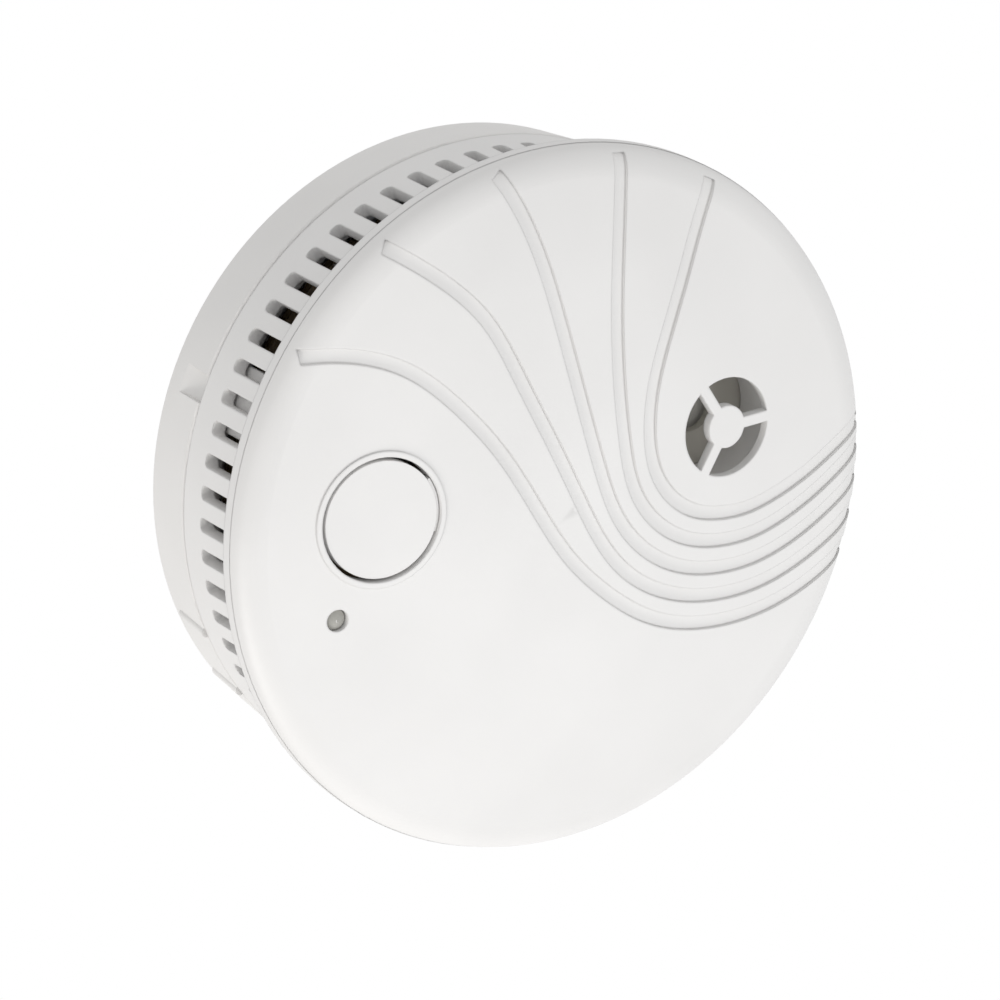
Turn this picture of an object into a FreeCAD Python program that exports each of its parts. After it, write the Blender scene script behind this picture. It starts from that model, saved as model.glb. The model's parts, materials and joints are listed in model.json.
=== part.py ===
import FreeCAD, Part
import math
import os
from FreeCAD import Vector

# Domed wall or ceiling smoke detector on a twist-off mounting base. Millimetres.
# The pieces are drawn with the wall at height 0 and the face towards +Z (heights are
# measured from the wall). place() then turns the detector upright: its face looks along
# -Y, +X is to the right of someone looking at the face, +Z is up, and the origin is the
# centre of the mounting face.

# ---- driving dimensions: envelope ----
RIM_RADIUS = 53.0            # widest part, the edge of the face
RIM_OVERHANG = 4.0           # the rim stands out this far from the slotted wall
BASE_TAPER = 0.9             # the mounting base is this much smaller at the wall
BASE_LIP = 0.1
SEAM_HEIGHT = 10.45          # parting between base and head
SEAM_GAP = 0.3
SEAM_ROUND = 0.4             # rounding of the base's front edge
RIM_REAR_HEIGHT = 29.1       # rear edge of the rim
RIM_BAND = 1.75              # from the rim's rear edge to the fine parting line
EDGE_ROUND_DEPTH = 3.35      # from the parting line to the edge of the domed face
FACE_RISE = 3.2              # the dome's middle above its edge
EDGE_ROUND_WIDTH = 4.3       # radial width of the rounded edge
PARTING_STEP = 0.12
EDGE_PULL = 0.55             # fullness of the rounded edge

# ---- driving dimensions: shells ----
COVER_THICKNESS = 2.0
SLOTTED_WALL = 2.2
SLOT_COUNT = 64
SLOT_WIDTH = 2.1
SLOT_CORNER = 0.8
SLOT_REAR_HEIGHT = 15.45
SLOT_FRONT_LAND = 0.6        # wall left between a slot and the rim
SLOT_PHASE = -0.65           # degrees
FIT = 0.3                    # clearance between pieces that move past each other
SLIP = 0.1                   # clearance between pieces that are pushed together
RUNNING_FIT = 0.05           # radial clearance of pins and plungers

# ---- driving dimensions: mounting base ----
BASE_FLOOR = 2.2
SKIRT_WALL = 1.6
BACK_RECESS = 0.8
BACK_LAND = 4.3
BACK_RIB_COUNT = 8
BACK_RIB_WIDTH = 1.6
BACK_HUB_RADIUS = 8.0
SCREW_SPACING = 60.0
SCREW_SLOT_LENGTH = 9.0
SCREW_SLOT_WIDTH = 4.6
SCREW_PAD_MARGIN = 3.0
NOTCH_ANGLE = 157.6
NOTCH_WIDTH = 4.2
NOTCH_REAR_HEIGHT = 3.6
NOTCH_DEPTH = 1.35           # at the seam; the floor curves up to the surface at the rear
NOTCH_SAG = 0.3
GRIP_RIB_ANGLES = (22.1, 35.5, 202.1, 215.5)
GRIP_RIB_HEIGHT = 0.5
GRIP_RIB_RADIUS = 0.75
GRIP_RIB_REAR = 1.5

# ---- driving dimensions: bayonet ----
BAYONET_ANGLES = (20.0, 140.0, 260.0)
BAYONET_HALF_ANGLE = 6.0
HOOK_WALL = 1.6
HOOK_REACH = 2.6
HOOK_TOP = 6.6
HOOK_FLANGE = 1.6
LUG_WALL = 2.0
LUG_FLANGE = 1.7
LUG_RADIAL_GAP = 0.7
LUG_SKIRT_GAP = 1.2
STOP_ANGLE = 3.0

# ---- driving dimensions: rear housing and board ----
CHASSIS_BACK = 7.4
CHASSIS_FLOOR = 1.8
CHASSIS_RING_WALL = 1.6
CHASSIS_RING_TOP = 13.0
BOARD_BACK = 12.0
BOARD_THICKNESS = 1.6
BOARD_MARGIN = 3.3           # from the board's edge to the cover wall
BOSS_RADIUS = 3.4
BOSS_ANGLES = (60.0, 150.0, 225.0, 320.0)
BOSS_PILOT_DEPTH = 9.0
COVER_SCREW_RADIUS = 1.3
SCREW_HEAD_RADIUS = 2.7
SCREW_HEAD_HEIGHT = 1.6
SCREW_HEAD_GAP = 0.2
BOARD_SCREW_HEAD_RADIUS = 1.9
BOARD_SCREW_HEAD_HEIGHT = 1.3
SCREW_GRIP = 0.8             # share of its hole that a screw fills
RECESS_LENGTH = 1.1          # cross recess, as shares of the head's radius and height
RECESS_WIDTH = 0.28
RECESS_FLOOR = 0.45
GUARD_ANGLE = 157.0          # curved guard hanging from the cover behind three slots
GUARD_HALF_ANGLE = 6.3
GUARD_GAP = 0.5
GUARD_THICKNESS = 1.8
GUARD_REAR = 14.4
POST_RADIUS = 2.6
POST_INSET = 4.5             # from the board's edge to its screws
POST_ANGLES = (95.0, 180.0, 305.0)
BOARD_SCREW_RADIUS = 1.0

# ---- driving dimensions: test button and status light ----
BUTTON_CENTRE = (-31.1, 4.0)
BUTTON_RADIUS = 8.75
BUTTON_SLIT = 0.55
BUTTON_THICKNESS = 1.6
BUTTON_RING_WIDTH = 0.9
BUTTON_RING_HEIGHT = 0.22
WEB_DEPTH = 0.25
WEB_WALL = 0.8
WEB_START = -20.0
WEB_END = 33.0
HINGE_INSET = 1.4            # the hinge line lies this far outside the button's hole
HINGE_DROP = 1.1             # and this far below the inside of the cover
HINGE_PIN_RADIUS = 0.7
EAR_THICKNESS = 1.2
EAR_SIDE_GAP = 0.5
EAR_WALL = 0.9
SWITCH_SIZE = 6.0
SWITCH_HEIGHT = 4.0
SWITCH_FLOOR = 1.0
PLUNGER_RADIUS = 1.7
PLUNGER_DEPTH = 4.2          # top of the plunger below the edge of the face
PLUNGER_FOOT_GAP = 0.8
LIGHT_CENTRE = (-38.0, -10.1)
LIGHT_HOLE_RADIUS = 1.65
LIGHT_RADIUS = 1.5
LIGHT_DOME_RADIUS = 2.4
LIGHT_SINK = 0.1
LIGHT_BODY_LENGTH = 6.2
LIGHT_FLANGE_RADIUS = 1.9
LIGHT_FLANGE_HEIGHT = 1.0
LEAD_SPACING = 1.3
LEAD_SIZE = 0.5

# ---- driving dimensions: sounder ----
GRILLE_CENTRE = (26.9, 7.7)
GRILLE_RADIUS = 7.42
GRILLE_HUB_RADIUS = 3.2
GRILLE_THICKNESS = 1.55
GRILLE_SPOKE_WIDTH = 1.65
GRILLE_SPOKE_ANGLES = (2.0, 122.0, 238.0)
HORN_RADIUS = 8.6
HORN_WALL = 1.2
HORN_GAP = 0.2
SOUNDER_RADIUS = 15.8
SOUNDER_WALL = 1.4
SOUNDER_HEIGHT = 16.6
SOUNDER_FLOOR = 1.4
PIEZO_RADIUS = 13.5
PIEZO_THICKNESS = 0.3
PIEZO_DEPTH = 6.5            # below the rim of the sounder housing
CERAMIC_RADIUS = 10.0
LEDGE_WIDTH = 1.8
CAP_RISE = 1.5               # above the back of the disc
CAP_THICKNESS = 1.4
CAP_HOLE_RADIUS = 3.5
CONTACT_CIRCLE = 8.0
CONTACT_RADIUS = 0.6

# ---- driving dimensions: face grooves ----
GROOVE_WIDTH = 2.1
GROOVE_DEPTH = 0.45
GROOVE_PITCH = 4.2
GROOVE_FIRST_RADIUS = 13.15
GROOVE_CENTRE = (26.75, 7.9)
GROOVE_OVERRUN = 0.6         # last step of a groove, as a share of the step before it
GROOVE_STEPS = 30
# Extra distance from the groove centre, by angle round it, where the grooves open out.
GROOVE_RUNOUT = ((225.0, 0.0), (247.0, 0.0), (270.0, 0.15), (287.0, 0.8), (303.0, 1.8),
                 (318.0, 3.5), (331.0, 5.9), (345.0, 10.0))
# Lead-in of each groove from the rim to the arc round the grille, innermost groove first.
GROOVE_LEADS = (
    ((25.5, 44.8), (22.2, 37.8), (19.5, 31.0), (16.4, 23.3), (14.1, 16.4), (13.3, 9.6), (14.5, 3.0)),
    ((10.2, 50.9), (8.9, 38.0), (8.1, 27.0), (8.2, 17.5), (9.0, 8.8), (11.1, 0.4)),
    ((-10.2, 50.8), (-5.1, 40.8), (-0.8, 26.0), (2.2, 14.5), (4.9, 5.0), (8.1, -2.9)),
    ((-28.7, 43.2), (-21.6, 38.4), (-13.5, 30.6), (-8.4, 21.2), (-3.6, 11.5), (0.7, 2.6), (4.6, -5.0)),
    ((-42.6, 29.3), (-34.2, 28.4), (-26.4, 25.3), (-18.8, 19.0), (-11.4, 10.2), (-5.0, -0.2), (0.0, -7.6)),
)
GROOVE_EDGE_RISE = 0.75      # grooves stop this far from the parting line

# ---- driving dimensions: smoke chamber ----
CHAMBER_CENTRE = (-1.0, -25.0)
CHAMBER_RADIUS = 20.0
CHAMBER_BASE_HEIGHT = 1.8
CHAMBER_TOP = 29.2
CHAMBER_LID = 1.2
FIN_COUNT = 24
FIN_LENGTH = 4.6
FIN_THICKNESS = 0.8
FIN_CIRCLE = 16.8
FIN_TWIST = 50.0
SCREEN_THICKNESS = 0.4
SCREEN_WINDOWS = 40
SCREEN_WINDOW_WIDTH = 1.7
SCREEN_BORDER = 1.2
OPTIC_HEIGHT = 22.0
OPTIC_RADIUS = 2.5
OPTIC_LENGTH = 7.0
OPTIC_TIP_DISTANCE = 5.5
EMITTER_ANGLE = 205.0
RECEIVER_ANGLE = 335.0
OPTIC_BLOCK_WALL = 0.9

# ---- driving dimensions: battery ----
BATTERY_CENTRE = (-6.75, 27.0)
BATTERY_RADIUS = 8.5
BATTERY_LENGTH = 34.5
BATTERY_NUB_RADIUS = 3.0
BATTERY_NUB_LENGTH = 1.0
CRADLE_FLOOR = 0.8
CRADLE_WALL = 1.2
CRADLE_HEIGHT = 8.0
CRADLE_SIDE_CUT = 0.5
CONTACT_STRIP = 0.4
CONTACT_STRIP_WIDTH = 6.0

# ---- driving dimensions: board components ----
CONTROLLER_CENTRE = (-11.5, 7.5)
CONTROLLER_SIZE = (10.0, 4.0, 1.75)
CONTROLLER_LEG_COUNT = 7
CONTROLLER_LEG_PITCH = 1.27
CONTROLLER_LEG = (0.45, 1.2, 0.3)
CONTROLLER_LEG_OVERLAP = 0.4
RESISTOR_SIZE = (2.0, 1.25, 0.5)
RESISTOR_START = (-20.0, -1.0)
RESISTOR_PITCH = 3.2
RESISTOR_COUNT = 6
CAPACITOR_SIZE = (2.0, 1.25, 1.1)
CAPACITOR_START = (-13.5, 13.8)
CAPACITOR_PITCH = 3.0
CAPACITOR_COUNT = 4
CAN_CENTRE = (-20.5, 10.2)
CAN_RADIUS = 4.0
CAN_HEIGHT = 10.5
CAN_GROOVE_DEPTH = 0.4
CAN_GROOVE_WIDTH = 0.8
COIL_CENTRE = (3.2, 0.0)
COIL_RADIUS = 4.0
COIL_HEIGHT = 6.0
COIL_FLANGE = 0.9
COIL_WINDING_INSET = 0.7

# ---- worked-out values ----
WALL_RADIUS = RIM_RADIUS - RIM_OVERHANG
BASE_REAR_RADIUS = WALL_RADIUS - BASE_TAPER
PARTING_HEIGHT = RIM_REAR_HEIGHT + RIM_BAND
FACE_EDGE_HEIGHT = PARTING_HEIGHT + EDGE_ROUND_DEPTH
FACE_APEX_HEIGHT = FACE_EDGE_HEIGHT + FACE_RISE
BOARD_TOP = BOARD_BACK + BOARD_THICKNESS
FACE_EDGE_RADIUS = RIM_RADIUS - EDGE_ROUND_WIDTH
DOME_RADIUS = (FACE_EDGE_RADIUS ** 2 + FACE_RISE ** 2) / (2.0 * FACE_RISE)
DOME_CENTRE_HEIGHT = FACE_APEX_HEIGHT - DOME_RADIUS
WALL_INNER_RADIUS = WALL_RADIUS - SLOTTED_WALL
SKIRT_FRONT_RADIUS = WALL_RADIUS + BASE_LIP
SKIRT_INNER_RADIUS = BASE_REAR_RADIUS - SKIRT_WALL
SKIRT_FRONT = SEAM_HEIGHT - SEAM_GAP / 2.0
HEAD_REAR = SEAM_HEIGHT + SEAM_GAP / 2.0
CHASSIS_RADIUS = SKIRT_INNER_RADIUS - FIT
REGISTER_RADIUS = WALL_INNER_RADIUS - FIT
CHASSIS_FRONT = CHASSIS_BACK + CHASSIS_FLOOR
LUG_INNER_RADIUS = SKIRT_INNER_RADIUS - LUG_SKIRT_GAP - LUG_WALL
HOOK_FLANGE_RADIUS = LUG_INNER_RADIUS - LUG_RADIAL_GAP
HOOK_RADIUS = HOOK_FLANGE_RADIUS - HOOK_REACH
HOOK_INNER_RADIUS = HOOK_RADIUS - HOOK_WALL
BOSS_CIRCLE = HOOK_INNER_RADIUS - SCREW_HEAD_GAP - SCREW_HEAD_RADIUS
BOARD_RADIUS = WALL_INNER_RADIUS - BOARD_MARGIN
POST_CIRCLE = BOARD_RADIUS - POST_INSET
LUG_FLANGE_TOP = HOOK_TOP - HOOK_FLANGE - FIT
BUTTON_HOLE_RADIUS = BUTTON_RADIUS + BUTTON_SLIT
HINGE_OFFSET = BUTTON_HOLE_RADIUS + HINGE_INSET
HINGE_DEPTH = COVER_THICKNESS + HINGE_DROP
PLUNGER_TOP = FACE_EDGE_HEIGHT - PLUNGER_DEPTH
PIEZO_HEIGHT = BOARD_TOP + SOUNDER_HEIGHT - PIEZO_DEPTH
CAP_HEIGHT = PIEZO_HEIGHT + CAP_RISE
HORN_REAR_HEIGHT = CAP_HEIGHT + CAP_THICKNESS + HORN_GAP
GROOVE_EDGE_LIMIT = PARTING_HEIGHT + GROOVE_EDGE_RISE
HINGE_ANGLE = (WEB_START + WEB_END) / 2.0
WEB_LENGTH = 2 * HINGE_OFFSET * math.sin(math.radians(WEB_END - WEB_START) / 2.0)
HINGE_PIN_LENGTH = WEB_LENGTH + 2 * (EAR_SIDE_GAP + EAR_THICKNESS)
AXIS = Vector(0, 0, 1)
ORIGIN = Vector(0, 0, 0)
PIECES = {}


# ---- general helpers ----
def place(name, shape):
    """Turn a finished piece upright and keep it under its name."""
    piece = shape.copy()
    piece.rotate(ORIGIN, Vector(1, 0, 0), 90)
    PIECES[name] = piece


def disc(radius, low, high, centre=(0.0, 0.0)):
    return Part.makeCylinder(radius, high - low, Vector(centre[0], centre[1], low), AXIS)


def ring(outer, inner, low, high, centre=(0.0, 0.0)):
    return disc(outer, low, high, centre).cut(disc(inner, low - 1, high + 1, centre))


def block(size_x, size_y, low, high, centre=(0.0, 0.0)):
    corner = Vector(centre[0] - size_x / 2.0, centre[1] - size_y / 2.0, low)
    return Part.makeBox(size_x, size_y, high - low, corner)


def polar(radius, angle, centre=(0.0, 0.0)):
    turn = math.radians(angle)
    return (centre[0] + radius * math.cos(turn), centre[1] + radius * math.sin(turn))


def sector(inner, outer, low, high, start, end, centre=(0.0, 0.0)):
    """A piece of a ring between two angles."""
    corners = [Vector(inner, 0, low), Vector(outer, 0, low),
               Vector(outer, 0, high), Vector(inner, 0, high), Vector(inner, 0, low)]
    face = Part.Face(Part.makePolygon(corners))
    solid = face.revolve(ORIGIN, AXIS, end - start)
    solid.rotate(ORIGIN, AXIS, start)
    solid.translate(Vector(centre[0], centre[1], 0))
    return solid


def turned(shape, angle, centre=(0.0, 0.0)):
    copy = shape.copy()
    copy.rotate(Vector(centre[0], centre[1], 0), AXIS, angle)
    return copy


def moved(shape, x, y, z=0.0):
    copy = shape.copy()
    copy.translate(Vector(x, y, z))
    return copy


def joined(shapes):
    result = shapes[0]
    if len(shapes) > 1:
        result = result.fuse(shapes[1:])
    return result.removeSplitter()


def group(shapes):
    return Part.makeCompound(shapes)


def face_height(x, y, depth=0.0):
    """Height of the domed face, or of the surface that lies depth behind it."""
    radius = DOME_RADIUS - depth
    return DOME_CENTRE_HEIGHT + math.sqrt(radius ** 2 - x ** 2 - y ** 2)


def face_body(depth):
    """Solid under the domed face and its rounded edge, shrunk all over by depth."""
    radius = DOME_RADIUS - depth
    edge = FACE_EDGE_RADIUS * radius / DOME_RADIUS
    tilt = math.asin(edge / radius)
    top = Vector(0, 0, DOME_CENTRE_HEIGHT + radius)
    middle = Vector(radius * math.sin(tilt / 2), 0, DOME_CENTRE_HEIGHT + radius * math.cos(tilt / 2))
    shoulder = Vector(edge, 0, DOME_CENTRE_HEIGHT + radius * math.cos(tilt))
    side = RIM_RADIUS - PARTING_STEP - depth
    foot = Vector(side, 0, PARTING_HEIGHT)
    reach = EDGE_PULL * EDGE_ROUND_WIDTH
    lead = shoulder + Vector(reach * math.cos(tilt), 0, -reach * math.sin(tilt))
    rise = Vector(side, 0, PARTING_HEIGHT + EDGE_PULL * (FACE_EDGE_HEIGHT - PARTING_HEIGHT))
    edge_curve = Part.BezierCurve()
    edge_curve.setPoles([shoulder, lead, rise, foot])
    outline = [Part.Arc(top, middle, shoulder).toShape(), edge_curve.toShape(),
               Part.makeLine(foot, Vector(0, 0, PARTING_HEIGHT)),
               Part.makeLine(Vector(0, 0, PARTING_HEIGHT), top)]
    return Part.Face(Part.Wire(outline)).revolve(ORIGIN, AXIS, 360)


def dome_ball(depth):
    """Everything inside the sphere that lies depth behind the domed face."""
    return Part.makeSphere(DOME_RADIUS - depth, Vector(0, 0, DOME_CENTRE_HEIGHT))


# ---- mounting base ----
def screw_slot(low, high):
    straight = SCREW_SLOT_LENGTH - SCREW_SLOT_WIDTH
    bar = block(straight, SCREW_SLOT_WIDTH, low, high)
    ends = [disc(SCREW_SLOT_WIDTH / 2.0, low, high, (side * straight / 2.0, 0)) for side in (-1, 1)]
    return joined([bar] + ends)


def back_recess():
    """Shallow pocket in the back that leaves a rim, spokes, a hub and pads round the slots."""
    pocket = disc(BASE_REAR_RADIUS - BACK_LAND, -1, BACK_RECESS)
    keep = [disc(BACK_HUB_RADIUS, -2, BACK_RECESS + 1)]
    for index in range(BACK_RIB_COUNT // 2):
        rib = block(2 * BASE_REAR_RADIUS, BACK_RIB_WIDTH, -2, BACK_RECESS + 1)
        keep.append(turned(rib, (index + 0.5) * 360.0 / BACK_RIB_COUNT))
    for side in (-1, 1):
        pad = block(SCREW_SLOT_LENGTH + 2 * SCREW_PAD_MARGIN, SCREW_SLOT_WIDTH + 2 * SCREW_PAD_MARGIN,
                    -2, BACK_RECESS + 1, (side * SCREW_SPACING / 2.0, 0))
        keep.append(pad)
    return pocket.cut(joined(keep))


def skirt_radius(height):
    return BASE_REAR_RADIUS + (SKIRT_FRONT_RADIUS - BASE_REAR_RADIUS) * height / SKIRT_FRONT


def skirt_solid():
    """Solid flared skirt with its front edge rounded."""
    low = SKIRT_FRONT - SEAM_ROUND
    slant = SEAM_ROUND * math.sqrt(0.5)
    start = Vector(skirt_radius(low), 0, low)
    end = Vector(start.x - SEAM_ROUND, 0, SKIRT_FRONT)
    middle = Vector(end.x + slant, 0, low + slant)
    foot, middle_rear, middle_front = Vector(BASE_REAR_RADIUS, 0, 0), ORIGIN, Vector(0, 0, SKIRT_FRONT)
    outline = [Part.makeLine(middle_rear, foot), Part.makeLine(foot, start),
               Part.Arc(start, middle, end).toShape(), Part.makeLine(end, middle_front),
               Part.makeLine(middle_front, middle_rear)]
    return Part.Face(Part.Wire(outline)).revolve(ORIGIN, AXIS, 360)


def grip_rib():
    """Half-round bead along the outside of the skirt, with a round rear end."""
    sink = GRIP_RIB_RADIUS - GRIP_RIB_HEIGHT
    low = GRIP_RIB_REAR + GRIP_RIB_RADIUS
    rear = Vector(skirt_radius(low) - sink, 0, low)
    front = Vector(skirt_radius(SKIRT_FRONT) - sink, 0, SKIRT_FRONT)
    bar = Part.makeCylinder(GRIP_RIB_RADIUS, rear.distanceToPoint(front), rear, front - rear)
    bead = joined([bar, Part.makeSphere(GRIP_RIB_RADIUS, rear)])
    return bead.cut(disc(WALL_RADIUS + 2, SKIRT_FRONT - SLIP, SKIRT_FRONT + 2))


def notch():
    """Cutter for the finger notch: its floor curves from the surface down to the seam."""
    rear = skirt_radius(NOTCH_REAR_HEIGHT)
    outside = WALL_RADIUS + 2
    corners = [Vector(WALL_RADIUS - NOTCH_DEPTH, 0, SKIRT_FRONT),
               Vector(WALL_RADIUS - NOTCH_DEPTH, 0, SKIRT_FRONT + 1), Vector(outside, 0, SKIRT_FRONT + 1),
               Vector(outside, 0, NOTCH_REAR_HEIGHT), Vector(rear, 0, NOTCH_REAR_HEIGHT)]
    middle = (corners[0] + corners[-1]) * 0.5 - Vector(NOTCH_SAG, 0, 0)
    floor = Part.Arc(corners[-1], middle, corners[0]).toShape()
    outline = Part.Wire([floor] + Part.makePolygon(corners).Edges)
    cutter = Part.Face(outline).extrude(Vector(0, NOTCH_WIDTH, 0))
    return moved(cutter, 0, -NOTCH_WIDTH / 2.0)


def mounting_base():
    body = skirt_solid().cut(disc(SKIRT_INNER_RADIUS, BASE_FLOOR, SKIRT_FRONT + 1))
    adds = [body]
    for angle in BAYONET_ANGLES:
        low, high = angle - BAYONET_HALF_ANGLE, angle + BAYONET_HALF_ANGLE
        adds.append(sector(HOOK_INNER_RADIUS, HOOK_RADIUS, BASE_FLOOR, HOOK_TOP, low, high))
        adds.append(sector(HOOK_RADIUS, HOOK_FLANGE_RADIUS, HOOK_TOP - HOOK_FLANGE, HOOK_TOP, low, high))
        stop_end = low - math.degrees(2 * FIT / LUG_INNER_RADIUS)
        adds.append(sector(LUG_INNER_RADIUS, LUG_INNER_RADIUS + LUG_WALL, BASE_FLOOR,
                           LUG_FLANGE_TOP, stop_end - STOP_ANGLE, stop_end))
    adds += [turned(grip_rib(), angle) for angle in GRIP_RIB_ANGLES]
    body = joined(adds)
    cuts = [turned(notch(), NOTCH_ANGLE), back_recess()]
    for side in (-1, 1):
        cuts.append(moved(screw_slot(-1, BASE_FLOOR + 1), side * SCREW_SPACING / 2.0, 0))
    place("mounting_base", body.cut(cuts))


# ---- rear housing of the head ----
def rear_housing():
    adds = [disc(CHASSIS_RADIUS, CHASSIS_BACK, CHASSIS_FRONT)]
    adds.append(ring(CHASSIS_RADIUS, CHASSIS_RADIUS - CHASSIS_RING_WALL, CHASSIS_FRONT, CHASSIS_RING_TOP))
    adds.append(ring(REGISTER_RADIUS, CHASSIS_RADIUS - CHASSIS_RING_WALL, HEAD_REAR, CHASSIS_RING_TOP))
    for angle in BAYONET_ANGLES:
        low, high = angle - BAYONET_HALF_ANGLE, angle + BAYONET_HALF_ANGLE
        rear = LUG_FLANGE_TOP - LUG_FLANGE
        outer = LUG_INNER_RADIUS + LUG_WALL
        adds.append(sector(LUG_INNER_RADIUS, outer, rear, CHASSIS_BACK, low, high))
        adds.append(sector(HOOK_RADIUS + LUG_RADIAL_GAP, LUG_INNER_RADIUS, rear, LUG_FLANGE_TOP, low, high))
    for angle in POST_ANGLES:
        adds.append(disc(POST_RADIUS, CHASSIS_FRONT, BOARD_BACK, polar(POST_CIRCLE, angle)))
    body = joined(adds)
    cuts = [disc(COVER_SCREW_RADIUS + FIT, CHASSIS_BACK - 1, CHASSIS_FRONT + 1, polar(BOSS_CIRCLE, angle))
            for angle in BOSS_ANGLES]
    cuts += [disc(BOARD_SCREW_RADIUS, CHASSIS_FRONT, BOARD_BACK + 1, polar(POST_CIRCLE, angle))
             for angle in POST_ANGLES]
    place("rear_housing", body.cut(cuts))


# ---- front cover ----
def rounded_slot():
    """Cutter for one air slot, lying along +X through the wall, with rounded rear corners."""
    half = SLOT_WIDTH / 2.0
    rear, front = SLOT_REAR_HEIGHT, RIM_REAR_HEIGHT - SLOT_FRONT_LAND
    inset = half - SLOT_CORNER
    diagonal = SLOT_CORNER * math.sqrt(0.5)
    start = Vector(WALL_INNER_RADIUS - FIT, 0, 0)
    points = [start + Vector(0, -half, front), start + Vector(0, -half, rear + SLOT_CORNER),
              start + Vector(0, -inset - diagonal, rear + SLOT_CORNER - diagonal),
              start + Vector(0, -inset, rear), start + Vector(0, inset, rear),
              start + Vector(0, inset + diagonal, rear + SLOT_CORNER - diagonal),
              start + Vector(0, half, rear + SLOT_CORNER), start + Vector(0, half, front)]
    outline = [Part.makeLine(points[0], points[1]), Part.Arc(*points[1:4]).toShape(),
               Part.makeLine(points[3], points[4]), Part.Arc(*points[4:7]).toShape(),
               Part.makeLine(points[6], points[7]), Part.makeLine(points[7], points[0])]
    face = Part.Face(Part.Wire(outline))
    return face.extrude(Vector(SLOTTED_WALL + 2, 0, 0))


def groove_points(index):
    """Centre line of one face groove, from the rim, round the grille and out again."""
    radius = GROOVE_FIRST_RADIUS + index * GROOVE_PITCH
    points = [Vector(x, y, 0) for x, y in GROOVE_LEADS[index]]
    for angle, extra in GROOVE_RUNOUT:
        x, y = polar(radius + extra, angle, GROOVE_CENTRE)
        points.append(Vector(x, y, 0))
        if math.hypot(x, y) > RIM_RADIUS:
            break
    points.append(points[-1] + (points[-1] - points[-2]) * GROOVE_OVERRUN)
    return points


def groove_band(index):
    """Flat outline of one groove: its centre line widened to both sides."""
    centre = Part.BSplineCurve()
    centre.interpolate(groove_points(index))
    first, last = centre.FirstParameter, centre.LastParameter
    sides = {-1: [], 1: []}
    for step in range(GROOVE_STEPS + 1):
        at = first + (last - first) * step / GROOVE_STEPS
        point = centre.value(at)
        along = centre.tangent(at)[0]
        across = Vector(-along.y, along.x, 0) * (GROOVE_WIDTH / 2.0)
        for side in sides:
            sides[side].append(point + across * side)
    curves = {}
    for side, line in sides.items():
        curves[side] = Part.BSplineCurve()
        curves[side].interpolate(line)
    outline = [curves[-1].toShape(), Part.makeLine(sides[-1][-1], sides[1][-1]),
               curves[1].toShape(), Part.makeLine(sides[1][0], sides[-1][0])]
    return Part.Face(Part.Wire(Part.__sortEdges__(outline)))


def grooves():
    floor = face_body(GROOVE_DEPTH)
    bands = []
    for index in range(len(GROOVE_LEADS)):
        band = groove_band(index)
        band.translate(Vector(0, 0, GROOVE_EDGE_LIMIT))
        height = FACE_APEX_HEIGHT + 1 - GROOVE_EDGE_LIMIT
        bands.append(band.extrude(Vector(0, 0, height)).cut(floor))
    return bands


def grille_openings():
    low, high = PARTING_HEIGHT, FACE_APEX_HEIGHT + 1
    openings = ring(GRILLE_RADIUS, GRILLE_HUB_RADIUS, low, high, GRILLE_CENTRE)
    for angle in GRILLE_SPOKE_ANGLES:
        x, y = GRILLE_CENTRE
        reach = GRILLE_RADIUS + 2
        spoke = block(reach, GRILLE_SPOKE_WIDTH, low - 1, high + 1, (x + reach / 2.0, y))
        openings = openings.cut(turned(spoke, angle, GRILLE_CENTRE))
    return openings


def hinge_frame(shape):
    """Move a shape drawn with the hinge line along Y at the origin to the button's hinge."""
    x, y = polar(HINGE_OFFSET, HINGE_ANGLE, BUTTON_CENTRE)
    copy = turned(shape, HINGE_ANGLE)
    return moved(copy, x, y, face_height(x, y, HINGE_DEPTH))


def pin_along(radius, length, offset=0.0):
    return Part.makeCylinder(radius, length, Vector(0, offset - length / 2.0, 0), Vector(0, 1, 0))


def hinge_ears():
    """Two bearing ears under the cover that carry the button's hinge pin."""
    radius = HINGE_PIN_RADIUS + RUNNING_FIT
    outer = radius + EAR_WALL
    ears = []
    for side in (-1, 1):
        offset = side * (HINGE_PIN_LENGTH - EAR_THICKNESS) / 2.0
        ear = pin_along(outer, EAR_THICKNESS, offset)
        web = Part.makeBox(2 * outer, EAR_THICKNESS, HINGE_DEPTH - COVER_THICKNESS / 2.0,
                           Vector(-outer, offset - EAR_THICKNESS / 2.0, 0))
        ears.append(hinge_frame(ear.fuse(web).cut(pin_along(radius, 2 * EAR_THICKNESS, offset))))
    return ears


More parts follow.
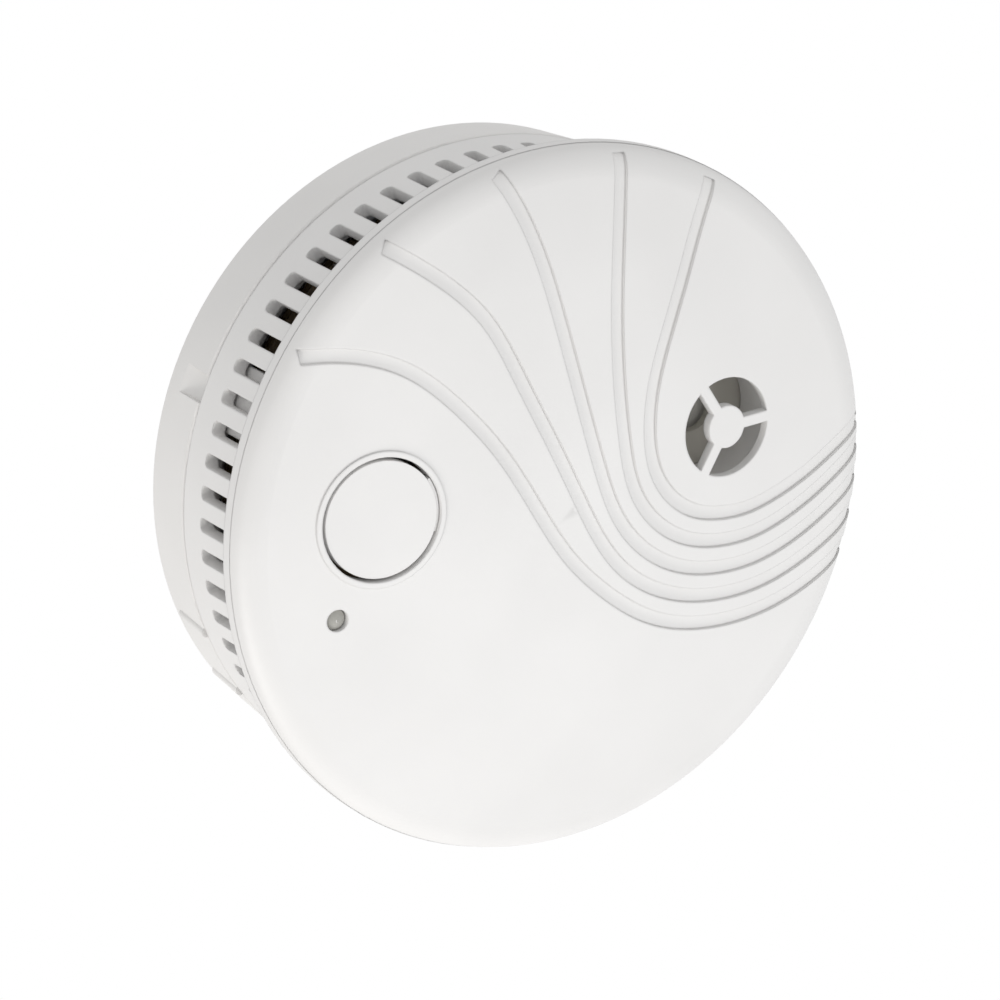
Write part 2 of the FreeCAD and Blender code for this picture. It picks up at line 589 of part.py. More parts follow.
def front_cover():
    under = dome_ball(COVER_THICKNESS)
    inner_top = FACE_APEX_HEIGHT + 1
    shell = joined([face_body(0.0), disc(RIM_RADIUS, RIM_REAR_HEIGHT, PARTING_HEIGHT),
                    disc(WALL_RADIUS, HEAD_REAR, RIM_REAR_HEIGHT)])
    hollow = disc(WALL_INNER_RADIUS, HEAD_REAR - 1, inner_top).common(under)
    shell = shell.cut(hollow)
    inside = []
    for angle in BOSS_ANGLES:
        inside.append(disc(BOSS_RADIUS, CHASSIS_FRONT, inner_top, polar(BOSS_CIRCLE, angle)))
    inside.append(disc(HORN_RADIUS + HORN_WALL, HORN_REAR_HEIGHT, inner_top, GRILLE_CENTRE))
    guard_radius = WALL_INNER_RADIUS - GUARD_GAP
    inside.append(sector(guard_radius - GUARD_THICKNESS, guard_radius, GUARD_REAR, inner_top,
                         GUARD_ANGLE - GUARD_HALF_ANGLE, GUARD_ANGLE + GUARD_HALF_ANGLE))
    skin = dome_ball(COVER_THICKNESS / 2.0)
    shell = joined([shell] + [piece.common(skin) for piece in inside])
    collar = ring(BUTTON_HOLE_RADIUS + BUTTON_RING_WIDTH, BUTTON_HOLE_RADIUS,
                  PARTING_HEIGHT + 1, inner_top, BUTTON_CENTRE)
    collar = collar.common(face_body(-BUTTON_RING_HEIGHT)).cut(dome_ball(COVER_THICKNESS))
    shell = joined([shell, collar] + hinge_ears())
    cuts = [disc(BUTTON_HOLE_RADIUS, FACE_EDGE_HEIGHT - 2 * COVER_THICKNESS, inner_top, BUTTON_CENTRE)]
    cuts.append(disc(LIGHT_HOLE_RADIUS, PARTING_HEIGHT, inner_top, LIGHT_CENTRE))
    cuts.append(grille_openings())
    horn = disc(HORN_RADIUS, HORN_REAR_HEIGHT - 1, inner_top, GRILLE_CENTRE)
    cuts.append(horn.common(dome_ball(GRILLE_THICKNESS)))
    for angle in BOSS_ANGLES:
        cuts.append(disc(COVER_SCREW_RADIUS, CHASSIS_FRONT - 1, CHASSIS_FRONT + BOSS_PILOT_DEPTH,
                         polar(BOSS_CIRCLE, angle)))
    shell = shell.cut(cuts)
    slot = rounded_slot()
    slots = [turned(slot, SLOT_PHASE + index * 360.0 / SLOT_COUNT) for index in range(SLOT_COUNT)]
    shell = shell.cut(slots)
    place("front_cover", shell.cut(grooves()))


# ---- test button and its switch ----
def test_button():
    top = face_body(0.0)
    cap = disc(BUTTON_RADIUS, PARTING_HEIGHT, FACE_APEX_HEIGHT + 1, BUTTON_CENTRE)
    cap = cap.common(top).cut(dome_ball(BUTTON_THICKNESS))
    hinge_x, hinge_y = polar(HINGE_OFFSET, HINGE_ANGLE, BUTTON_CENTRE)
    hinge_height = face_height(hinge_x, hinge_y, HINGE_DEPTH)
    leg_outer = BUTTON_HOLE_RADIUS - SLIP
    leg = sector(BUTTON_RADIUS - WEB_WALL, leg_outer, hinge_height - WEB_WALL / 2.0,
                 FACE_APEX_HEIGHT, WEB_START, WEB_END, BUTTON_CENTRE)
    leg = leg.common(dome_ball(WEB_DEPTH))
    foot = sector(BUTTON_RADIUS - WEB_WALL, HINGE_OFFSET, hinge_height - WEB_WALL / 2.0,
                  hinge_height + WEB_WALL / 2.0, WEB_START, WEB_END, BUTTON_CENTRE)
    pin = hinge_frame(pin_along(HINGE_PIN_RADIUS, HINGE_PIN_LENGTH))
    stem = disc(PLUNGER_RADIUS, PLUNGER_TOP + SLIP, FACE_APEX_HEIGHT, BUTTON_CENTRE)
    stem = stem.common(dome_ball(BUTTON_THICKNESS / 2.0))
    place("test_button", joined([cap, leg, foot, pin, stem]))


def test_switch():
    low, high = BOARD_TOP, BOARD_TOP + SWITCH_HEIGHT
    body = block(SWITCH_SIZE, SWITCH_SIZE, low, high, BUTTON_CENTRE)
    bore = disc(PLUNGER_RADIUS + RUNNING_FIT, low + SWITCH_FLOOR, high + 1, BUTTON_CENTRE)
    place("test_switch", body.cut(bore))
    plunger = disc(PLUNGER_RADIUS, low + SWITCH_FLOOR + PLUNGER_FOOT_GAP, PLUNGER_TOP, BUTTON_CENTRE)
    place("switch_plunger", plunger)


# ---- status light ----
def status_light():
    x, y = LIGHT_CENTRE
    tip = face_height(x, y, LIGHT_SINK)
    rear = tip - LIGHT_BODY_LENGTH
    shoulder = tip - LIGHT_DOME_RADIUS
    barrel = disc(LIGHT_RADIUS, rear, shoulder, LIGHT_CENTRE)
    ball = Part.makeSphere(LIGHT_DOME_RADIUS, Vector(x, y, shoulder))
    dome = disc(LIGHT_RADIUS, shoulder, tip, LIGHT_CENTRE).common(ball)
    flange = disc(LIGHT_FLANGE_RADIUS, rear, rear + LIGHT_FLANGE_HEIGHT, LIGHT_CENTRE)
    place("status_light", joined([barrel, dome, flange]))
    legs = [block(LEAD_SIZE, LEAD_SIZE, BOARD_TOP, rear, (x + side * LEAD_SPACING, y)) for side in (-1, 1)]
    bores = [block(LEAD_SIZE + 2 * SLIP, LEAD_SIZE + 2 * SLIP, BOARD_TOP - 1, rear + 1,
                   (x + side * LEAD_SPACING, y)) for side in (-1, 1)]
    place("light_leads", group(legs))
    place("light_spacer", disc(LIGHT_FLANGE_RADIUS + SLIP, BOARD_TOP, rear, LIGHT_CENTRE).cut(bores))


# ---- circuit board and small components ----
def circuit_board():
    board = disc(BOARD_RADIUS, BOARD_BACK, BOARD_TOP)
    cuts = [disc(BOSS_RADIUS + FIT, BOARD_BACK - 1, BOARD_TOP + 1, polar(BOSS_CIRCLE, angle))
            for angle in BOSS_ANGLES]
    cuts += [disc(BOARD_SCREW_RADIUS, BOARD_BACK - 1, BOARD_TOP + 1, polar(POST_CIRCLE, angle))
             for angle in POST_ANGLES]
    place("circuit_board", board.cut(cuts))


def controller_chip():
    length, width, height = CONTROLLER_SIZE
    leg_width, leg_length, leg_height = CONTROLLER_LEG
    body = block(length, width, BOARD_TOP + leg_height / 2.0, BOARD_TOP + height, CONTROLLER_CENTRE)
    legs = []
    for index in range(CONTROLLER_LEG_COUNT):
        x = CONTROLLER_CENTRE[0] + (index - (CONTROLLER_LEG_COUNT - 1) / 2.0) * CONTROLLER_LEG_PITCH
        for side in (-1, 1):
            y = CONTROLLER_CENTRE[1] + side * (width + leg_length) / 2.0
            legs.append(block(leg_width, leg_length + CONTROLLER_LEG_OVERLAP,
                              BOARD_TOP, BOARD_TOP + leg_height, (x, y)))
    place("controller_chip", joined([body] + legs))


def chip_row(name, size, start, pitch, count):
    length, width, height = size
    pieces = [block(width, length, BOARD_TOP, BOARD_TOP + height, (start[0] + index * pitch, start[1]))
              for index in range(count)]
    place(name, group(pieces))


def can_capacitor():
    body = disc(CAN_RADIUS, BOARD_TOP, BOARD_TOP + CAN_HEIGHT, CAN_CENTRE)
    waist = BOARD_TOP + CAN_HEIGHT / 6.0
    groove = ring(CAN_RADIUS + 1, CAN_RADIUS - CAN_GROOVE_DEPTH, waist, waist + CAN_GROOVE_WIDTH, CAN_CENTRE)
    place("can_capacitor", body.cut(groove))


def sounder_coil():
    top = BOARD_TOP + COIL_HEIGHT
    flanges = [disc(COIL_RADIUS, BOARD_TOP, BOARD_TOP + COIL_FLANGE, COIL_CENTRE),
               disc(COIL_RADIUS, top - COIL_FLANGE, top, COIL_CENTRE),
               disc(COIL_RADIUS / 2.0, BOARD_TOP, top, COIL_CENTRE)]
    place("coil_core", joined(flanges))
    place("coil_winding", ring(COIL_RADIUS - COIL_WINDING_INSET, COIL_RADIUS / 2.0,
                               BOARD_TOP + COIL_FLANGE, top - COIL_FLANGE, COIL_CENTRE))


# ---- smoke chamber ----
def optic(angle):
    """One lens-ended optical part, its tip towards the middle of the chamber."""
    tip = OPTIC_TIP_DISTANCE + OPTIC_RADIUS
    barrel = Part.makeCylinder(OPTIC_RADIUS, OPTIC_LENGTH - OPTIC_RADIUS, Vector(tip, 0, 0), Vector(1, 0, 0))
    lens = Part.makeSphere(OPTIC_RADIUS, Vector(tip, 0, 0))
    part = moved(joined([barrel, lens]), CHAMBER_CENTRE[0], CHAMBER_CENTRE[1], OPTIC_HEIGHT)
    return turned(part, angle, CHAMBER_CENTRE)


def optic_block(angle, floor):
    """Holder under one optical part, with a trough of the part's size."""
    length = OPTIC_LENGTH - OPTIC_RADIUS
    width = 2 * (OPTIC_RADIUS + OPTIC_BLOCK_WALL)
    x, y = CHAMBER_CENTRE
    near = OPTIC_TIP_DISTANCE + OPTIC_RADIUS
    holder = block(length, width, floor, OPTIC_HEIGHT, (x + near + length / 2.0, y))
    trough = Part.makeCylinder(OPTIC_RADIUS + SLIP, length + 2, Vector(x + near - 1, y, OPTIC_HEIGHT),
                               Vector(1, 0, 0))
    return turned(holder.cut(trough), angle, CHAMBER_CENTRE)


def smoke_chamber():
    floor = BOARD_TOP + CHAMBER_BASE_HEIGHT
    base = disc(CHAMBER_RADIUS, BOARD_TOP, floor, CHAMBER_CENTRE)
    angles = (EMITTER_ANGLE, RECEIVER_ANGLE)
    place("chamber_base", joined([base] + [optic_block(angle, floor) for angle in angles]))
    place("infrared_emitter", optic(EMITTER_ANGLE))
    place("light_receiver", optic(RECEIVER_ANGLE))
    lid_rear = CHAMBER_TOP - CHAMBER_LID
    pieces = [disc(CHAMBER_RADIUS, lid_rear, CHAMBER_TOP, CHAMBER_CENTRE)]
    x, y = CHAMBER_CENTRE
    for index in range(FIN_COUNT):
        fin = block(FIN_LENGTH, FIN_THICKNESS, floor, lid_rear, (x + FIN_CIRCLE, y))
        fin = turned(fin, FIN_TWIST, (x + FIN_CIRCLE, y))
        pieces.append(turned(fin, index * 360.0 / FIN_COUNT, CHAMBER_CENTRE))
    place("chamber_cap", joined(pieces))
    screen = ring(CHAMBER_RADIUS, CHAMBER_RADIUS - SCREEN_THICKNESS, floor, lid_rear, CHAMBER_CENTRE)
    window = block(2.0, SCREEN_WINDOW_WIDTH, floor + SCREEN_BORDER, lid_rear - SCREEN_BORDER,
                   (x + CHAMBER_RADIUS, y))
    windows = [turned(window, index * 360.0 / SCREEN_WINDOWS, CHAMBER_CENTRE)
               for index in range(SCREEN_WINDOWS)]
    place("insect_screen", screen.cut(windows))


# ---- sounder ----
def sounder():
    floor = BOARD_TOP + SOUNDER_FLOOR
    inner = SOUNDER_RADIUS - SOUNDER_WALL
    cup = disc(SOUNDER_RADIUS, BOARD_TOP, BOARD_TOP + SOUNDER_HEIGHT, GRILLE_CENTRE)
    cuts = [disc(inner, PIEZO_HEIGHT, BOARD_TOP + SOUNDER_HEIGHT + 1, GRILLE_CENTRE),
            disc(inner - LEDGE_WIDTH, floor, PIEZO_HEIGHT + 1, GRILLE_CENTRE)]
    spots = [polar(CONTACT_CIRCLE, 120.0 * index, GRILLE_CENTRE) for index in range(3)]
    cuts += [disc(CONTACT_RADIUS + SLIP, BOARD_TOP - 1, floor + 1, spot) for spot in spots]
    place("sounder_housing", cup.cut(cuts))
    place("sounder_disc", disc(PIEZO_RADIUS, PIEZO_HEIGHT, PIEZO_HEIGHT + PIEZO_THICKNESS, GRILLE_CENTRE))
    ceramic_rear = PIEZO_HEIGHT + PIEZO_THICKNESS
    ceramic_front = ceramic_rear + PIEZO_THICKNESS
    place("sounder_ceramic", disc(CERAMIC_RADIUS, ceramic_rear, ceramic_front, GRILLE_CENTRE))
    place("sounder_contacts", group([disc(CONTACT_RADIUS, BOARD_TOP, PIEZO_HEIGHT, spot) for spot in spots]))
    cap = disc(inner - SLIP, CAP_HEIGHT, CAP_HEIGHT + CAP_THICKNESS, GRILLE_CENTRE)
    skirt = ring(inner - SLIP, inner - LEDGE_WIDTH / 2.0, ceramic_rear, CAP_HEIGHT, GRILLE_CENTRE)
    hole = disc(CAP_HOLE_RADIUS, CAP_HEIGHT - 1, CAP_HEIGHT + CAP_THICKNESS + 1, GRILLE_CENTRE)
    place("sounder_cap", joined([cap, skirt]).cut(hole))


# ---- battery ----
def battery():
    x, y = BATTERY_CENTRE
    middle = BOARD_TOP + CRADLE_FLOOR + BATTERY_RADIUS
    left = x - BATTERY_LENGTH / 2.0
    right = x + BATTERY_LENGTH / 2.0
    along = Vector(1, 0, 0)
    cell = Part.makeCylinder(BATTERY_RADIUS, BATTERY_LENGTH, Vector(left, y, middle), along)
    nub = Part.makeCylinder(BATTERY_NUB_RADIUS, BATTERY_NUB_LENGTH, Vector(right, y, middle), along)
    place("battery", joined([cell, nub]))
    strip_left = left - CONTACT_STRIP
    strip_right = right + BATTERY_NUB_LENGTH
    strip = Part.makeBox(CONTACT_STRIP, CONTACT_STRIP_WIDTH, middle + BATTERY_NUB_RADIUS - BOARD_TOP,
                         Vector(0, y - CONTACT_STRIP_WIDTH / 2.0, BOARD_TOP))
    place("battery_contacts", group([moved(strip, strip_left, 0), moved(strip, strip_right, 0)]))
    low = strip_left - CRADLE_WALL
    high = strip_right + CONTACT_STRIP + CRADLE_WALL
    width = 2 * (BATTERY_RADIUS - CRADLE_SIDE_CUT)
    cradle = Part.makeBox(high - low, width, CRADLE_HEIGHT, Vector(low, y - width / 2.0, BOARD_TOP))
    trough = Part.makeCylinder(BATTERY_RADIUS + SLIP, strip_right + CONTACT_STRIP - strip_left,
                               Vector(strip_left, y, middle), along)
    slots = [Part.makeBox(CONTACT_STRIP, CONTACT_STRIP_WIDTH, CRADLE_HEIGHT + 2,
                          Vector(edge, y - CONTACT_STRIP_WIDTH / 2.0, BOARD_TOP - 1))
             for edge in (strip_left, strip_right)]
    place("battery_cradle", cradle.cut([trough] + slots))


# ---- screws ----
def pan_screw(shank, length, head_radius, head_height):
    """A screw standing head up, with the seat of its head at height 0 and a cross recess."""
    head = disc(head_radius, 0, head_height)
    body = joined([head, disc(shank, -length, 0)])
    arms = [block(head_radius * RECESS_LENGTH, head_radius * RECESS_WIDTH, head_height * RECESS_FLOOR,
                  head_height + 1)]
    arms.append(turned(arms[0], 90))
    return body.cut(arms)


def screws():
    board = pan_screw(BOARD_SCREW_RADIUS, BOARD_THICKNESS + SCREW_GRIP * (BOARD_BACK - CHASSIS_FRONT),
                      BOARD_SCREW_HEAD_RADIUS, BOARD_SCREW_HEAD_HEIGHT)
    spots = [polar(POST_CIRCLE, angle) for angle in POST_ANGLES]
    place("board_screws", group([moved(board, x, y, BOARD_TOP) for x, y in spots]))
    cover = pan_screw(COVER_SCREW_RADIUS, CHASSIS_FLOOR + SCREW_GRIP * BOSS_PILOT_DEPTH,
                      SCREW_HEAD_RADIUS, SCREW_HEAD_HEIGHT)
    cover.rotate(ORIGIN, Vector(1, 0, 0), 180)
    spots = [polar(BOSS_CIRCLE, angle) for angle in BOSS_ANGLES]
    place("cover_screws", group([moved(cover, x, y, CHASSIS_BACK) for x, y in spots]))


def build():
    mounting_base()
    rear_housing()
    front_cover()
    test_button()
    test_switch()
    status_light()
    circuit_board()
    controller_chip()
    chip_row("resistors", RESISTOR_SIZE, RESISTOR_START, RESISTOR_PITCH, RESISTOR_COUNT)
    chip_row("chip_capacitors", CAPACITOR_SIZE, CAPACITOR_START, CAPACITOR_PITCH, CAPACITOR_COUNT)
    can_capacitor()
    sounder_coil()
    smoke_chamber()
    sounder()
    battery()
    screws()
    os.makedirs("parts", exist_ok=True)
    for name, piece in PIECES.items():
        piece.exportStep("parts/" + name + ".step")


build()
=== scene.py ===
import json

import bpy
from mathutils import Matrix, Vector


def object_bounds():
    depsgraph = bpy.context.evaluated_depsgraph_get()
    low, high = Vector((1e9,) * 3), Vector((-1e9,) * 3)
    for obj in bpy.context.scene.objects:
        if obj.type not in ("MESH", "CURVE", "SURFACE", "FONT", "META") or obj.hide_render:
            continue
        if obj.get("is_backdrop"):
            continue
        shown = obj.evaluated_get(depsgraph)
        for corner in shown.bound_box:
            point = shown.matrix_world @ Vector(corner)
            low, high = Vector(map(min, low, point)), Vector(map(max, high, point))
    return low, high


# A white, domed smoke detector hangs in front of a pale studio sweep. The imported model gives
# every shape; this script adds the finishes, the light and the camera. Metres throughout.

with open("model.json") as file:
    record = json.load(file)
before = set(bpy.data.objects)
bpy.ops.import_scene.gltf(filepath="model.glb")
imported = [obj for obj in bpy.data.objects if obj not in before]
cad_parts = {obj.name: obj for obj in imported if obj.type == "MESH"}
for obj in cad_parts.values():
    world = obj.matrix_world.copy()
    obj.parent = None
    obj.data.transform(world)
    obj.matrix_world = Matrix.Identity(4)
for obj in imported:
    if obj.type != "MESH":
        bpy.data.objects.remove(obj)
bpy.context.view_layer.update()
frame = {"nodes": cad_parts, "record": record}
NODES = frame["nodes"]


# ---- shader helpers ----
# Sockets of the colour Mix node, which share their names with its other kinds.
MIX_DARK_SOCKET = 6
MIX_LIGHT_SOCKET = 7
MIX_RESULT_SOCKET = 2
NOISE_LOW = 0.3              # the part of a noise pattern's range that is used
NOISE_HIGH = 0.7
BEVEL_SAMPLES = 6


class Shader:
    """Builds one material: a Principled surface and the nodes that feed it."""

    def __init__(self, name):
        self.material = bpy.data.materials.new(name)
        self.material.use_nodes = True
        self.tree = self.material.node_tree
        self.surface = self.tree.nodes["Principled BSDF"]
        self.coords = self.tree.nodes.new("ShaderNodeTexCoord")

    def node(self, kind, **inputs):
        made = self.tree.nodes.new(kind)
        for key, value in inputs.items():
            made.inputs[key.replace("_", " ")].default_value = value
        return made

    def link(self, source, target):
        self.tree.links.new(source, target)

    def noise(self, size, detail, roughness=0.5):
        """A noise pattern whose features are about size metres across."""
        made = self.node("ShaderNodeTexNoise", Scale=1.0 / size, Detail=detail, Roughness=roughness)
        self.link(self.coords.outputs["Object"], made.inputs["Vector"])
        return made.outputs["Fac"]

    def spread(self, value, low, high):
        """Maps a noise value to the range low to high."""
        made = self.node("ShaderNodeMapRange")
        made.inputs["From Min"].default_value = NOISE_LOW
        made.inputs["From Max"].default_value = NOISE_HIGH
        made.inputs["To Min"].default_value = low
        made.inputs["To Max"].default_value = high
        self.link(value, made.inputs["Value"])
        return made.outputs["Result"]

    def tint(self, value, dark, light):
        """A colour between dark and light, chosen by value."""
        made = self.tree.nodes.new("ShaderNodeMix")
        made.data_type = "RGBA"
        made.inputs[MIX_DARK_SOCKET].default_value = (*dark, 1.0)
        made.inputs[MIX_LIGHT_SOCKET].default_value = (*light, 1.0)
        self.link(value, made.inputs["Factor"])
        self.link(made.outputs[MIX_RESULT_SOCKET], self.surface.inputs["Base Color"])

    def bump(self, heights, soften=0.0):
        """Surface relief from (value, depth in metres) pairs, over edges softened by a radius."""
        normal = None
        if soften:
            bevel = self.tree.nodes.new("ShaderNodeBevel")
            bevel.samples = BEVEL_SAMPLES
            bevel.inputs["Radius"].default_value = soften
            normal = bevel.outputs["Normal"]
        for value, depth in heights:
            made = self.node("ShaderNodeBump", Strength=1.0, Distance=depth)
            self.link(value, made.inputs["Height"])
            if normal:
                self.link(normal, made.inputs["Normal"])
            normal = made.outputs["Normal"]
        self.link(normal, self.surface.inputs["Normal"])

    def rough(self, value, low, high):
        self.link(self.spread(value, low, high), self.surface.inputs["Roughness"])


def scaled(colour, factor):
    return tuple(min(1.0, part * factor) for part in colour)


# ---- finishes, with sizes and depths in metres ----
PATCH_SIZE = 0.02
PATCH_DEPTH = 0.00001
PATCHINESS = 0.02
GRAIN_SIZE = 0.00022
GRAIN_DEPTH = 0.000006
EDGE_ROUND = 0.0002
COVER_EDGE_ROUND = 0.00045
WAVE_SIZE = 0.004
WAVE_DEPTH = 0.00001
SCRATCH_SIZE = 0.0004
SCRATCH_DEPTH = 0.000003
STAIN_SIZE = 0.006
SWIRL_SIZE = 0.001
LENS_TRANSMISSION = 0.4
EPOXY_IOR = 1.5
TRACK_SCALE = 420.0
FIBRE_SIZE = 0.0008
FIBRE_DEPTH = 0.000006
BOARD_DARK = (0.13, 0.095, 0.055)
BOARD_LIGHT = (0.19, 0.14, 0.085)


def moulded_plastic(name, colour, low_rough=0.42, high_rough=0.55, soften=EDGE_ROUND):
    """Injection-moulded plastic with a spark-eroded grain and faint flow patches."""
    shader = Shader(name)
    patches = shader.noise(PATCH_SIZE, 2.0)
    grains = shader.noise(GRAIN_SIZE, 2.0, 0.6)
    shader.tint(shader.spread(patches, 0.0, 1.0), scaled(colour, 1.0 - PATCHINESS),
                scaled(colour, 1.0 + PATCHINESS))
    shader.rough(grains, low_rough, high_rough)
    shader.bump([(patches, PATCH_DEPTH), (grains, GRAIN_DEPTH)], soften)
    return shader.material


def smooth_plastic(name, colour, roughness=0.25):
    """Glossy plastic, lacquer or shrink sleeve with fine waviness."""
    shader = Shader(name)
    waves = shader.noise(WAVE_SIZE, 2.0)
    shader.tint(shader.spread(waves, 0.0, 1.0), scaled(colour, 0.93), scaled(colour, 1.07))
    shader.rough(waves, roughness * 0.8, roughness * 1.25)
    shader.bump([(waves, WAVE_DEPTH)])
    return shader.material


def metal(name, colour, roughness=0.3):
    """Rolled or plated metal with fine scratches and dull spots."""
    shader = Shader(name)
    shader.surface.inputs["Metallic"].default_value = 1.0
    marks = shader.noise(SCRATCH_SIZE, 4.0, 0.7)
    stains = shader.noise(STAIN_SIZE, 2.0)
    shader.tint(shader.spread(stains, 0.0, 1.0), scaled(colour, 0.85), colour)
    shader.rough(marks, roughness * 0.8, roughness * 1.4)
    shader.bump([(marks, SCRATCH_DEPTH)])
    return shader.material


def clear_lens(name, colour):
    """Clear moulded epoxy of an indicator lamp."""
    shader = Shader(name)
    swirl = shader.noise(SWIRL_SIZE, 2.0)
    shader.tint(shader.spread(swirl, 0.0, 1.0), scaled(colour, 0.9), colour)
    shader.surface.inputs["Transmission Weight"].default_value = LENS_TRANSMISSION
    shader.surface.inputs["IOR"].default_value = EPOXY_IOR
    shader.rough(swirl, 0.04, 0.12)
    return shader.material


def board_laminate(name):
    """Brown phenolic paper laminate under a thin lacquer, with a faint track pattern."""
    shader = Shader(name)
    tracks = shader.node("ShaderNodeTexBrick", Scale=TRACK_SCALE)
    shader.link(shader.coords.outputs["Object"], tracks.inputs["Vector"])
    fibres = shader.noise(FIBRE_SIZE, 3.0)
    shader.tint(shader.spread(tracks.outputs["Fac"], 0.0, 1.0), BOARD_DARK, BOARD_LIGHT)
    shader.rough(fibres, 0.25, 0.4)
    shader.bump([(fibres, FIBRE_DEPTH)])
    return shader.material


COVER_WHITE = (0.785, 0.777, 0.768)
BASE_WHITE = (0.785, 0.775, 0.762)
MATERIALS = {
    "cover_plastic": moulded_plastic("cover_plastic", COVER_WHITE, soften=COVER_EDGE_ROUND),
    "base_plastic": moulded_plastic("base_plastic", BASE_WHITE),
    "housing_plastic": moulded_plastic("housing_plastic", (0.70, 0.69, 0.675)),
    "button_plastic": moulded_plastic("button_plastic", COVER_WHITE),
    "clear_lens": clear_lens("clear_lens", (0.66, 0.65, 0.60)),
    "tinned_lead": metal("tinned_lead", (0.72, 0.72, 0.72)),
    "white_spacer": moulded_plastic("white_spacer", (0.72, 0.72, 0.70)),
    "board_laminate": board_laminate("board_laminate"),
    "black_plastic": moulded_plastic("black_plastic", (0.035, 0.033, 0.032), 0.5, 0.7),
    "screen_metal": metal("screen_metal", (0.30, 0.29, 0.28), 0.5),
    "lens_dark": smooth_plastic("lens_dark", (0.05, 0.03, 0.07), 0.1),
    "chip_black": moulded_plastic("chip_black", (0.03, 0.03, 0.03), 0.5, 0.65),
    "resistor_body": smooth_plastic("resistor_body", (0.03, 0.03, 0.035), 0.3),
    "capacitor_body": smooth_plastic("capacitor_body", (0.38, 0.25, 0.14), 0.4),
    "can_aluminium": metal("can_aluminium", (0.76, 0.76, 0.77), 0.3),
    "coil_ferrite": moulded_plastic("coil_ferrite", (0.06, 0.06, 0.065), 0.5, 0.7),
    "coil_copper": metal("coil_copper", (0.62, 0.28, 0.12), 0.3),
    # The sounder cap is white plastic; its grey-beige colour here is painted shade, standing for
    # the shade inside the grille.
    "sounder_plastic": moulded_plastic("sounder_plastic", (0.55, 0.53, 0.48), 0.5, 0.65),
    "disc_brass": metal("disc_brass", (0.70, 0.50, 0.20), 0.3),
    "ceramic_white": moulded_plastic("ceramic_white", (0.70, 0.69, 0.65), 0.5, 0.6),
    "spring_steel": metal("spring_steel", (0.66, 0.66, 0.67), 0.25),
    "battery_wrap": smooth_plastic("battery_wrap", (0.05, 0.11, 0.24), 0.25),
    "cradle_plastic": moulded_plastic("cradle_plastic", (0.76, 0.755, 0.74)),
    "switch_body": moulded_plastic("switch_body", (0.03, 0.03, 0.03), 0.45, 0.6),
    "switch_stem": moulded_plastic("switch_stem", (0.05, 0.05, 0.05), 0.45, 0.6),
    "screw_steel": metal("screw_steel", (0.62, 0.62, 0.63), 0.3),
}


def dress_nodes():
    """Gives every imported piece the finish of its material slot."""
    slot_of = {part["node"]: part["material_slot"] for part in frame["record"]["subparts"]}
    for name, piece in NODES.items():
        for slot in piece.material_slots:
            slot.material = MATERIALS[slot_of[name]]


# ---- studio ----
FLOOR_DROP = 0.8
FLOOR_SIZE = 40.0
FLOOR_GRAIN_SIZE = 0.05
WORLD_STRENGTH = 0.74
AIM = Vector((0.0, 0.0, 0.0))
WARM_WHITE = (1.0, 0.975, 0.945)
COOL_WHITE = (0.98, 0.99, 1.0)


def floor_material():
    """White sweep: plain diffuse for the light, paper white where the camera sees it."""
    shader = Shader("studio_sweep")
    grain = shader.noise(FLOOR_GRAIN_SIZE, 2.0)
    shader.tint(shader.spread(grain, 0.0, 1.0), (0.84, 0.84, 0.84), (0.86, 0.86, 0.86))
    shader.rough(grain, 0.85, 0.95)
    tree = shader.tree
    glow = shader.node("ShaderNodeEmission", Strength=1.0)
    glow.inputs["Color"].default_value = (1.0, 1.0, 1.0, 1.0)
    path = tree.nodes.new("ShaderNodeLightPath")
    either = tree.nodes.new("ShaderNodeMath")
    either.operation = "MAXIMUM"
    shader.link(path.outputs["Is Camera Ray"], either.inputs[0])
    shader.link(path.outputs["Is Transmission Ray"], either.inputs[1])
    seen = tree.nodes.new("ShaderNodeMath")
    seen.operation = "MAXIMUM"
    shader.link(either.outputs[0], seen.inputs[0])
    shader.link(path.outputs["Is Glossy Ray"], seen.inputs[1])
    mix = tree.nodes.new("ShaderNodeMixShader")
    shader.link(seen.outputs[0], mix.inputs[0])
    shader.link(shader.surface.outputs[0], mix.inputs[1])
    shader.link(glow.outputs[0], mix.inputs[2])
    shader.link(mix.outputs[0], tree.nodes["Material Output"].inputs["Surface"])
    return shader.material


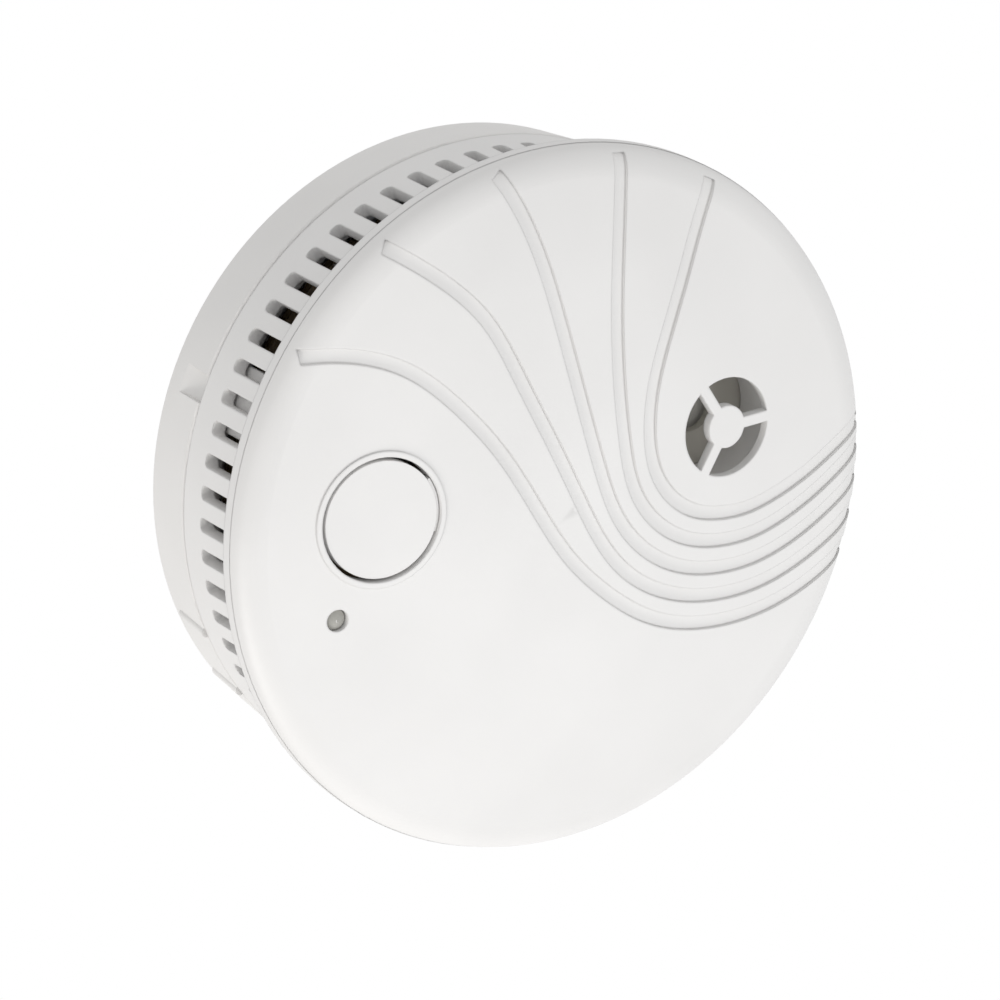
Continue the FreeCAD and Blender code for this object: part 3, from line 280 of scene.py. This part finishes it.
def studio_floor():
    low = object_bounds()[0][2] - FLOOR_DROP
    bpy.ops.mesh.primitive_plane_add(size=FLOOR_SIZE, location=(0, 0, low))
    floor = bpy.context.object
    floor.name = "studio_floor"
    floor.data.materials.append(floor_material())
    floor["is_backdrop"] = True


def lamp(name, place, size, watts, colour):
    """A round area lamp at place, turned towards the middle of the mounting face."""
    data = bpy.data.lights.new(name, "AREA")
    data.shape = "DISK"
    data.size = size
    data.energy = watts
    data.color = colour
    holder = bpy.data.objects.new(name, data)
    bpy.context.scene.collection.objects.link(holder)
    holder.location = place
    aim = AIM - Vector(place)
    holder.rotation_euler = aim.to_track_quat("-Z", "Y").to_euler()


def lights():
    world = bpy.data.worlds.new("studio_world")
    bpy.context.scene.world = world
    world.use_nodes = True
    background = world.node_tree.nodes["Background"]
    background.inputs["Color"].default_value = (1.0, 1.0, 1.0, 1.0)
    background.inputs["Strength"].default_value = WORLD_STRENGTH
    lamp("low_left_light", (-0.61, -0.27, -0.53), 0.4, 2.6, WARM_WHITE)
    lamp("low_right_light", (0.45, -1.0, -0.45), 0.3, 3.6, COOL_WHITE)


# ---- camera ----
CAMERA_PLACE = Vector((-0.5473, -0.9113, 0.3636))
CAMERA_FORWARD = Vector((0.49266, 0.80474, -0.33117))
CAMERA_RIGHT = Vector((0.85288, -0.52211, 0.0))
LENS = 274.3                 # millimetres
SENSOR_WIDTH = 36.0          # millimetres
NEAREST_SEEN = 0.01


def camera():
    data = bpy.data.cameras.new("camera")
    data.sensor_width = SENSOR_WIDTH
    data.lens = LENS
    data.clip_start = NEAREST_SEEN
    holder = bpy.data.objects.new("camera", data)
    bpy.context.scene.collection.objects.link(holder)
    up = CAMERA_RIGHT.cross(CAMERA_FORWARD)
    turn = Matrix((CAMERA_RIGHT, up, -CAMERA_FORWARD)).transposed()
    holder.matrix_world = Matrix.Translation(CAMERA_PLACE) @ turn.to_4x4()
    bpy.context.scene.camera = holder


dress_nodes()
studio_floor()
lights()
camera()
bpy.context.scene.view_settings.view_transform = "Standard"
